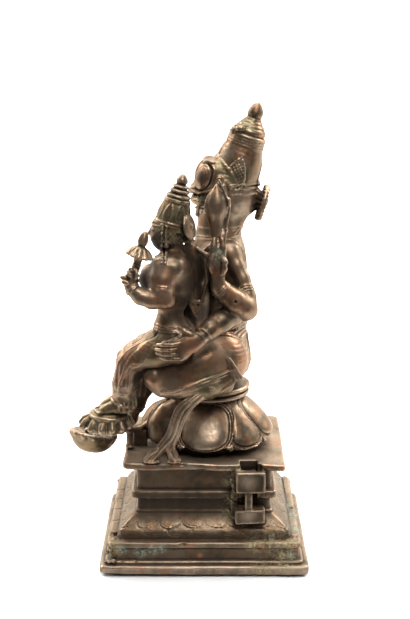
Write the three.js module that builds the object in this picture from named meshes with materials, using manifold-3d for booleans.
// Seated lion-headed figure with his consort on his left thigh, on a lotus seat and a stepped square pedestal.
// Millimetres, +Z up. The group faces -Y, its own left side is +X, the origin is the middle of the pedestal's underside.
import * as THREE from 'three';
import Module from 'manifold-3d';
import { mergeVertices } from 'three/addons/utils/BufferGeometryUtils.js';

const wasm = await Module();
wasm.setup();

// ---------------------------------------------------------------- driving dimensions
// pedestal: heights (Z) and half widths (Y); depth along X is the width times DEPTH
const DEPTH = 0.9413;
const FOOT = { half: 46.0, top: 4.6 };
const STEP = { half: 43.6, top: 6.1 };
const RISER = { half: 41.7, top: 11.8 };
const PLINTH = { half: 42.5, top: 14.4 };
const CYMA = { halfBottom: 38.5, halfTop: 30.8, top: 23.7, steps: 5 };
const FILLET = { half: 30.4, top: 25.2 };
const NECK = { half: 29.7, top: 45.4 };
const RIB = { half: 32.1, bottom: 31.0, top: 34.7 };
const SLAB = { half: 35.6, top: 48.4 };
const GAP = 0.3;                       // clearance between the seat and the slab it stands on

// arch sockets on the two sides of the pedestal
const LUG = { y0: 13.7, y1: 26.6, outer: 38.0, topZ: 46.0, midTopZ: 36.5, midBotZ: 28.4, botZ: 22.2, webY0: 17.7, webY1: 20.6 };
const SLOT = { y0: 15.9, y1: 22.9, x0: 28.2, x1: 33.2 };

// lotus seat
const SEAT = { y: 2.4, rFoot: 21.6, rPetal: 28.6, rWaist: 15.4, rRim: 18.5, z0: SLAB.top + GAP, zLip: 51.6, zWaist: 69.8, zTop: 75.9, petals: 8 };

// crowns: base centre, tilt backwards, profile scale
const CROWN_N = { base: [0, 13.6, 170.5], tilt: 0.328, rBase: 11.0, rTop: 8.0, cone: 13.4, height: 33.6 };
const CROWN_L = { base: [23.5, -13.2, 154.6], tilt: 0.235, rBase: 7.3, rTop: 3.9, cone: 9.4, height: 20.0 };

// discs behind the two heads
const DISC_N = { c: [0, 25.7, 158.2], r: 8.2, t: 2.4, dir: [0, 0.960, -0.279] };
const DISC_L = { c: [22.6, -6.7, 150.4], r: 5.7, t: 2.2, dir: [0.45, 0.88, -0.12] };

const NSEG = 9;                        // facets round a limb
const MERGE = 0.38;                    // facets flatter than this are merged after the union

// ---------------------------------------------------------------- helpers
const V = (a) => new THREE.Vector3(a[0], a[1], a[2]);

function solid(geometry) {
  const g = geometry.index ? geometry.toNonIndexed() : geometry.clone();
  for (const n of Object.keys(g.attributes)) if (n !== 'position') g.deleteAttribute(n);
  const m = mergeVertices(g, 1e-4);
  const p = m.attributes.position.array;
  const src = m.index.array;
  let tri = [];
  let vol = 0;
  for (let i = 0; i < src.length; i += 3) {
    const [a, b, c] = [src[i], src[i + 1], src[i + 2]];
    if (a === b || b === c || a === c) continue;
    tri.push(a, b, c);
    const [ax, ay, az, bx, by, bz, cx, cy, cz] = [p[3 * a], p[3 * a + 1], p[3 * a + 2], p[3 * b], p[3 * b + 1], p[3 * b + 2], p[3 * c], p[3 * c + 1], p[3 * c + 2]];
    vol += ax * (by * cz - bz * cy) - ay * (bx * cz - bz * cx) + az * (bx * cy - by * cx);
  }
  if (vol < 0) for (let i = 0; i < tri.length; i += 3) [tri[i + 1], tri[i + 2]] = [tri[i + 2], tri[i + 1]];
  return new wasm.Manifold(new wasm.Mesh({ numProp: 3, vertProperties: new Float32Array(p), triVerts: new Uint32Array(tri) }));
}

function union(list) {
  let layer = list.slice();
  while (layer.length > 1) {
    const next = [];
    for (let i = 0; i < layer.length; i += 2) next.push(i + 1 < layer.length ? layer[i].add(layer[i + 1]) : layer[i]);
    layer = next;
  }
  return layer[0];
}

// place a geometry built along +Z at point a, its +Z turned to direction d
function aim(g, a, d) {
  g.applyQuaternion(new THREE.Quaternion().setFromUnitVectors(new THREE.Vector3(0, 0, 1), V(d).normalize()));
  g.translate(a[0], a[1], a[2]);
  return g;
}

// turned body: profile of [radius, height] pairs round the Z axis
function turned(profile, seg) {
  const g = new THREE.LatheGeometry(profile.map(([r, h]) => new THREE.Vector2(r, h)), seg);
  g.rotateX(Math.PI / 2);
  return g;
}

// square body: the same, four-sided, half width along Y, DEPTH times that along X
function squared(profile) {
  const g = new THREE.LatheGeometry(profile.map(([r, h]) => new THREE.Vector2(r * Math.SQRT2, h)), 4, Math.PI / 4);
  g.rotateX(Math.PI / 2);
  g.scale(DEPTH, 1, 1);
  return solid(g);
}

function blob(c, r, rot = [0, 0, 0], seg = 11, rings = 7) {
  const g = new THREE.SphereGeometry(1, seg, rings);
  g.rotateX(Math.PI / 2);
  g.scale(r[0], r[1], r[2]);
  g.rotateX(rot[0]); g.rotateY(rot[1]); g.rotateZ(rot[2]);
  g.translate(c[0], c[1], c[2]);
  return solid(g);
}

// tapered limb with round ends, flattened by sx across its local X if asked
function limb(a, ra, b, rb, seg = NSEG, sx = 1) {
  const d = V(b).sub(V(a));
  const L = d.length();
  const pts = [];
  const k = 2;
  for (let i = 0; i <= k; i++) { const t = (i / k) * Math.PI / 2; pts.push([ra * Math.sin(t), -ra * Math.cos(t)]); }
  for (let i = k; i >= 0; i--) { const t = (i / k) * Math.PI / 2; pts.push([rb * Math.sin(t), L + rb * Math.cos(t)]); }
  const g = turned(pts, seg);
  g.scale(sx, 1, 1);
  return solid(aim(g, a, [d.x, d.y, d.z]));
}

// chain of limbs through stations [x, y, z, r]
function chain(st, seg = NSEG, sx = 1) {
  const out = [];
  for (let i = 0; i + 1 < st.length; i++) out.push(limb(st[i].slice(0, 3), st[i][3], st[i + 1].slice(0, 3), st[i + 1][3], seg, sx));
  return out;
}

function box(x0, x1, y0, y1, z0, z1) {
  const g = new THREE.BoxGeometry(x1 - x0, y1 - y0, z1 - z0);
  g.translate((x0 + x1) / 2, (y0 + y1) / 2, (z0 + z1) / 2);
  return solid(g);
}

function disc(c, r, t, dir, seg = 18) {
  const pts = [[0, -t / 2], [r * 0.55, -t / 2], [r * 0.93, -t * 0.42], [r, 0], [r * 0.93, t * 0.42], [r * 0.55, t / 2], [0, t / 2]];
  return solid(aim(turned(pts, seg), c, dir));
}

const mirrored = (m) => m.mirror([1, 0, 0]);

// ---------------------------------------------------------------- pedestal
function pedestal() {
  const profile = [[0, 0], [FOOT.half - 0.4, 0], [FOOT.half, 0.8], [FOOT.half, FOOT.top - 0.5], [FOOT.half - 0.5, FOOT.top],
    [STEP.half, FOOT.top], [STEP.half, STEP.top], [RISER.half, STEP.top], [RISER.half, RISER.top],
    [PLINTH.half, RISER.top + 0.2], [PLINTH.half, PLINTH.top - 0.4], [PLINTH.half - 0.4, PLINTH.top]];
  for (let i = 0; i <= CYMA.steps; i++) {                         // swelling lotus moulding
    const t = i / CYMA.steps;
    const w = CYMA.halfTop + (CYMA.halfBottom - CYMA.halfTop) * Math.pow(Math.cos(t * Math.PI / 2), 0.9);
    profile.push([w, PLINTH.top + (CYMA.top - PLINTH.top) * t]);
  }
  profile.push([FILLET.half + 0.3, CYMA.top], [FILLET.half, FILLET.top], [NECK.half, FILLET.top], [NECK.half, RIB.bottom],
    [RIB.half - 0.3, RIB.bottom + 1.0], [RIB.half, (RIB.bottom + RIB.top) / 2 + 0.4], [RIB.half - 0.6, RIB.top - 0.5], [NECK.half + 0.3, RIB.top],
    [NECK.half + 0.3, NECK.top], [SLAB.half, NECK.top], [SLAB.half + 0.2, SLAB.top - 0.5], [SLAB.half - 0.2, SLAB.top], [0, SLAB.top]);
  let body = squared(profile);
  // raised strip on the front ledge of the plinth, with its cross cuts
  const ledge = box(-37.5, 31, -PLINTH.half + 0.6, -CYMA.halfBottom + 0.6, PLINTH.top - 0.4, PLINTH.top + 0.9);
  body = body.add(ledge);
  for (const x of [-8, 4]) body = body.subtract(box(x - 0.35, x + 0.35, -PLINTH.half - 1, -CYMA.halfBottom, PLINTH.top + 0.25, PLINTH.top + 2));
  // arch socket: upper block, web, lower block, with the slot behind them
  const lug = union([
    box(27, LUG.outer, LUG.y0, LUG.y1, LUG.midTopZ, LUG.topZ),
    box(SLOT.x1, LUG.outer, LUG.webY0, LUG.webY1, LUG.midBotZ - 1, LUG.midTopZ + 1),
    box(26, LUG.outer, LUG.y0, LUG.y1, LUG.botZ, LUG.midBotZ),
  ]);
  const slot = box(SLOT.x0, SLOT.x1, SLOT.y0, SLOT.y1, LUG.midBotZ, SLAB.top + 2).add(box(SLOT.x0, SLAB.half + 1, SLOT.y0, SLOT.y1, LUG.topZ, SLAB.top + 2));
  for (const side of [lug, mirrored(lug)]) body = body.add(side);
  for (const side of [slot, mirrored(slot)]) body = body.subtract(side);
  return body;
}

// ---------------------------------------------------------------- lotus seat with its petals
function lotusSeat() {
  const { y, rFoot, rPetal, rWaist, rRim, z0, zLip, zWaist, zTop, petals } = SEAT;
  const prof = [[0, z0], [rFoot, z0], [rFoot - 0.4, z0 + 2.4], [rPetal - 3.4, zLip], [rPetal - 1.2, zLip + 0.8]];
  const n = 4;
  for (let i = 1; i <= n; i++) {                                  // bell-shaped side
    const t = i / n;
    prof.push([rWaist + (rPetal - 1.4 - rWaist) * (1 - t) ** 0.8, zLip + 2 + (zWaist - zLip - 2) * t]);
  }
  prof.push([rRim - 0.6, zWaist + 1.0], [rRim, zWaist + 2.2], [rRim - 0.9, zWaist + 3.3], [rRim, zWaist + 4.4], [rRim - 0.8, zTop], [0, zTop]);
  const g = turned(prof, 32);
  const parts = [solid(g)];
  for (let i = 0; i < petals; i++) {                              // swelling petals turned down over the bell
    const a = (i / petals) * 2 * Math.PI;
    const p = new THREE.SphereGeometry(1, 10, 7);
    p.rotateX(Math.PI / 2);
    p.scale(3.5, 10.2, 10.8);
    p.rotateY(-Math.PI / 4);                                       // lean along the bell's side
    p.translate(21.8, 0, 60.0);
    p.rotateZ(a);
    parts.push(solid(p));
  }
  const raw = union(parts);
  const trim = box(-60, 60, -60, 60, -20, z0);
  g.dispose();
  return raw.translate([0, y, 0]).subtract(trim);
}

// ---------------------------------------------------------------- crowns
function crown({ base, tilt, rBase, rTop, cone, height }, seg) {
  const s = rTop / 7.4;
  const h = height - cone;
  const prof = [[0, -rBase * 0.45], [rBase * 0.9, -rBase * 0.45], [rBase, 0], [(rBase + rTop) / 2 + 0.35 * s, cone * 0.55], [rTop, cone],
    [rTop * 1.03, cone + h * 0.06], [rTop * 0.95, cone + h * 0.11], [rTop * 1.0, cone + h * 0.16], [rTop * 0.97, cone + h * 0.19],
    [rTop * 1.08, cone + h * 0.27], [rTop * 0.9, cone + h * 0.36], [rTop * 0.62, cone + h * 0.48], [rTop * 0.5, cone + h * 0.55],
    [rTop * 0.33, cone + h * 0.62], [rTop * 0.42, cone + h * 0.74], [rTop * 0.32, cone + h * 0.87], [0, cone + h]];
  const d = [0, Math.sin(tilt), Math.cos(tilt)];
  return solid(aim(turned(prof, seg), base, d));
}

// ---------------------------------------------------------------- lion-headed figure
function largeFigure() {
  const out = [];
  // trunk
  out.push(blob([0, 7, 88], [18, 13, 12.5], [0, 0, 0], 16, 10));
  out.push(blob([0, 9.2, 104.5], [13, 11.6, 17], [0, 0, 0], 14, 8));
  out.push(blob([0, 7.2, 131], [16.5, 11.2, 16.5], [0, 0, 0], 16, 10));
  out.push(limb([0, 7.2, 141], 9.3, [0, 6.8, 152], 8.4, 12));
  // head, mane, muzzle, jaws, eyes
  out.push(blob([0, 11.2, 163], [11.2, 13.6, 10.8], [-0.5, 0, 0], 14, 10));
  out.push(limb([0, 4.5, 168.8], 7.6, [0, 0.5, 166.4], 5.6, 10));
  out.push(limb([0, 0, 165.8], 5.0, [0, -4.8, 163.7], 2.7, 8));
  out.push(limb([0, 5, 155.6], 5.6, [0, -3.2, 157.4], 3.4));
  out.push(limb([0, -2.4, 157.5], 2.6, [0, -2.6, 153.8], 1.8, 8));
  for (const s of [-1, 1]) {
    out.push(blob([6.6 * s, -0.6, 170.4], [3.0, 3.3, 5.2], [0, 0, 0], 10, 8));
    out.push(blob([11.2 * s, 7.6, 168], [2.4, 3.0, 5.6], [-0.3, 0, 0], 8, 6));
  }
  out.push(crown(CROWN_N, 16));
  // rim band of the crown, dipping behind the ears
  const band = new THREE.TorusGeometry(11.4, 1.5, 6, 18);
  out.push(solid(aim(band, [0, 13.2, 169.6], [0, 0.5, 0.86])));
  // disc behind the head on its stem
  out.push(disc(DISC_N.c, DISC_N.r, DISC_N.t, DISC_N.dir, 20));
  out.push(limb([0, 14, 163], 4.6, [0, 24.6, 159], 3.4, 10));

  // left arms
  const upperL = chain([[15.2, 11.0, 138.2, 5.4], [20.4, 15.9, 128.5, 3.6], [24.0, 17.2, 116.2, 4.9], [28.6, 6.4, 127.4, 4.2]]);
  const lowerL = chain([[14.0, 9.5, 134, 6.0], [22.5, 12.5, 121, 4.8], [27.0, 8.4, 113.6, 4.6], [36.2, -1.4, 107.2, 3.2]]);
  const handL = [
    limb([28.8, 5.4, 129], 3.2, [28.6, 5.6, 143.5], 3.0, 8),
    ...chain([[37.0, -3.5, 106.0, 3.0], [39.4, -9.5, 103.6, 3.6], [38.6, -19.0, 102.6, 2.2]], 8),
  ];
  // conch, point upwards
  const conch = solid(turned([[0, 0], [2.6, 0.6], [3.7, 4.5], [4.6, 10], [4.9, 13.4], [4.1, 16.6], [2.2, 18.8], [1.0, 20.4], [0, 21.4]], 12).translate(28, 5.2, 147.6));
  out.push(...upperL, ...lowerL, ...handL, conch);
  out.push(box(27.4, 28.6, 7.2, 10.0, 132, 158));                 // ribbon behind the conch
  out.push(limb([27.5, -1.4, 141.0], 1.3, [28.4, 4.2, 139.2], 1.6, 6));

  // right arms: discus raised, open hand lowered
  for (const m of upperL) out.push(mirrored(m));
  out.push(limb([-28.8, 5.4, 129], 3.2, [-28.6, 5.6, 143.5], 3.0, 8));
  out.push(disc([-28.4, 5.6, 152.0], 7.6, 3.0, [0.25, 1, 0], 16));
  out.push(...chain([[-14.0, 9.5, 134, 6.0], [-22.5, 12.0, 121, 4.8], [-25.6, 7.0, 114.6, 4.6], [-23.6, -10.4, 122.0, 3.2]]));
  out.push(limb([-23.6, -11.4, 123], 3.0, [-23.4, -12.4, 134], 3.0, 8));

  // left leg folded on the seat
  out.push(...chain([[13, 7, 90.5, 12.4], [21, -7, 88.5, 10.4], [27.4, -20.0, 85.4, 7.0]], 12));
  out.push(...chain([[27, -17.6, 82.6, 5.6], [26, 1, 81.4, 5.0], [20, 8.5, 80.6, 4.6]], 10));
  // right leg hanging to the footrest
  out.push(...chain([[-12, 6, 90, 12.2], [-14.5, -10, 89.5, 10.4], [-15, -25.6, 88, 7.6], [-15, -29.2, 70, 4.9], [-15, -31.6, 58.5, 3.9]], 12));
  out.push(...chain([[-15, -32.0, 56.0, 3.6], [-14, -43, 51.5, 3.4], [-13.4, -53.5, 49.2, 2.6]], 8));
  return out;
}

// ---------------------------------------------------------------- consort
function smallFigure() {
  const out = [];
  out.push(blob([25, -12.5, 102.5], [10, 9.2, 8.6], [0, 0, 0], 12, 8));
  out.push(limb([25, -14.6, 106], 6.0, [25, -14.8, 116], 5.2, 12));
  out.push(blob([25, -12.6, 127.5], [8.8, 8.6, 12.2], [0, 0, 0], 14, 8));
  for (const s of [-1, 1]) out.push(blob([24.6 + 4.6 * s, -21.2, 128.6], [4.6, 5.2, 5.2], [0, 0, 0], 10, 8));
  out.push(limb([24, -13.2, 136], 4.4, [24, -14.4, 145], 4.2, 10));
  // head and hair
  out.push(blob([24, -16.2, 148.8], [6.6, 7.0, 7.6], [0, 0, 0], 12, 8));
  out.push(blob([23.7, -12.6, 150.6], [7.8, 8.4, 7.4], [0, 0, 0], 12, 8));
  out.push(crown(CROWN_L, 14));
  out.push(disc(DISC_L.c, DISC_L.r, DISC_L.t, DISC_L.dir, 14));
  out.push(limb([23.4, -11, 150], 3.4, [22.8, -7.6, 150], 2.6, 8));
  // hair and shoulder falling towards his chest, and the mass joining the two bodies
  out.push(...chain([[22.4, -9.4, 146, 4.2], [20.5, -5.6, 138.5, 4.4], [16, -3.5, 130, 5.4]], 8));
  out.push(blob([12.5, -5.2, 116], [9.5, 7.6, 16.5]));
  // near arm raised with the flower
  out.push(...chain([[33.0, -12.6, 136.5, 4.6], [36.2, -14.4, 121.4, 4.0], [36.2, -30.6, 127.0, 2.9], [35.4, -29.8, 134.5, 2.5]]));
  out.push(limb([36.0, -30.0, 131.5], 1.8, [36.4, -34.6, 131.8], 1.3, 6));
  const flower = turned([[0, 0], [1.5, 0], [1.7, 5.4], [5.2, 5.9], [5.6, 6.7], [2.4, 11.0], [1.5, 11.8], [2.2, 13.6], [1.7, 15.6], [0, 17.6]], 10);
  out.push(solid(aim(flower, [35.2, -29.2, 133.8], [0, 0.27, 0.963])));
  // far arm round his waist
  out.push(...chain([[16.4, -12.6, 136.5, 4.4], [9.0, -10.0, 126, 3.6], [3.0, -3.4, 121, 2.8]], 8));
  // legs side by side under the skirt
  for (const x of [20.4, 28.4]) out.push(...chain([[x, -12.5, 100.4, 7.8], [x, -31.2, 94.2, 6.2], [x, -35.4, 80.0, 4.3]], 12));
  out.push(...chain([[24.4, -13, 100, 7.6], [24.4, -30.8, 94.2, 6.0], [24.4, -35.6, 82.0, 4.2]], 10));
  out.push(solid(aim(turned([[0, 0], [6.4, 0], [5.2, 5], [4.0, 12], [0, 12]], 14).scale(1.25, 0.75, 1), [24.6, -35.2, 74.0], [0, 0.02, 1])));
  for (const x of [20.6, 28.6]) out.push(...chain([[x, -34.2, 72.8, 3.3], [x + 0.3, -45.4, 71.2, 2.0]], 8));
  return out;
}

// ---------------------------------------------------------------- footrests, stalk and sash
function footrests() {
  const out = [];
  // upper lotus pad: flat top, petals drooping as flutes round its edge
  const pad = turned([[0, -9.0], [4.4, -9.2], [9.4, -6.4], [10.0, -5.2], [8.8, -2.4], [8.6, -0.4], [8.0, 0], [0, 0]], 16);
  out.push(solid(pad.translate(24.6, -41.8, 69.6)));
  for (let i = 0; i < 10; i++) {
    const a = (i / 10) * 2 * Math.PI;
    out.push(limb([24.6 + 7.4 * Math.cos(a), -41.8 + 7.4 * Math.sin(a), 67.2], 1.7, [24.6 + 9.6 * Math.cos(a), -41.8 + 9.6 * Math.sin(a), 63.6], 1.5, 6));
  }
  // lower lotus bowl under the large figure's right foot
  const bowl = turned([[0, -9.4], [4.5, -9.0], [8.2, -6.6], [10.2, -2.6], [10.6, 0], [9.4, 0.8], [0, 1.4]], 16);
  out.push(solid(bowl.translate(-12.4, -52.2, 46.6)));
  for (let i = 0; i < 8; i++) {
    const a = ((i + 0.5) / 8) * 2 * Math.PI;
    out.push(blob([-12.4 + 9.0 * Math.cos(a), -52.2 + 9.0 * Math.sin(a), 45.2], [2.6, 2.6, 3.2], [0, 0, 0], 8, 6));
  }
  // stalk on the slab's front edge, and the block behind it
  out.push(box(12.6, 15.4, -35.2, -32.4, SLAB.top + GAP, 59.5));
  out.push(...chain([[14.2, -33.9, 58.6, 1.7], [16.2, -35.4, 63.4, 2.0], [20.0, -38.2, 66.2, 3.0]], 8));
  out.push(box(3.2, 11.6, -32.2, -22.0, SLAB.top + GAP, 56.4));
  out.push(box(2.6, 12.3, -33.2, -23.6, 55.4, 57.2));
  // sash hanging over the seat, splitting into two flared ends on the slab
  out.push(...chain([[25.5, -3, 77.5, 3.0], [29, -7.6, 71, 3.2], [31, -12.6, 62.0, 3.4], [31.2, -15.4, 56, 3.4]], 8));
  out.push(...chain([[31.0, -16.6, 56, 2.8], [31.2, -20.6, 51.4, 2.9]], 8));
  out.push(...chain([[31.2, -14.6, 56, 2.8], [31.6, -13.2, 51.4, 2.9]], 8));
  // cloth over the hip and tassel at the back
  out.push(...chain([[16, 14, 92, 3.2], [20.5, 14.0, 84, 2.6]], 8));
  return out;
}

// ---------------------------------------------------------------- assembly
const figure = union([lotusSeat(), ...largeFigure(), ...smallFigure(), ...footrests()]);
const floorCut = box(-80, 80, -SLAB.half - 0.6, 80, 0, SLAB.top + GAP);
const group = figure.asOriginal().simplify(MERGE).subtract(floorCut);

const bronze = new THREE.MeshStandardMaterial({ color: 0x5f4a3c, roughness: 0.42, metalness: 0.85 });
const bronzeBase = new THREE.MeshStandardMaterial({ color: 0x6b5747, roughness: 0.5, metalness: 0.8 });

function meshOf(m, name, material) {
  const r = m.getMesh();
  const g = new THREE.BufferGeometry();
  g.setAttribute('position', new THREE.BufferAttribute(new Float32Array(r.vertProperties), 3));
  g.setIndex(new THREE.BufferAttribute(new Uint32Array(r.triVerts), 1));
  g.computeVertexNormals();
  const mesh = new THREE.Mesh(g, material);
  mesh.name = name;
  return mesh;
}

const root = new THREE.Group();
root.add(meshOf(pedestal(), 'pedestal', bronzeBase));
root.add(meshOf(group, 'figure_group', bronze));
export default root;
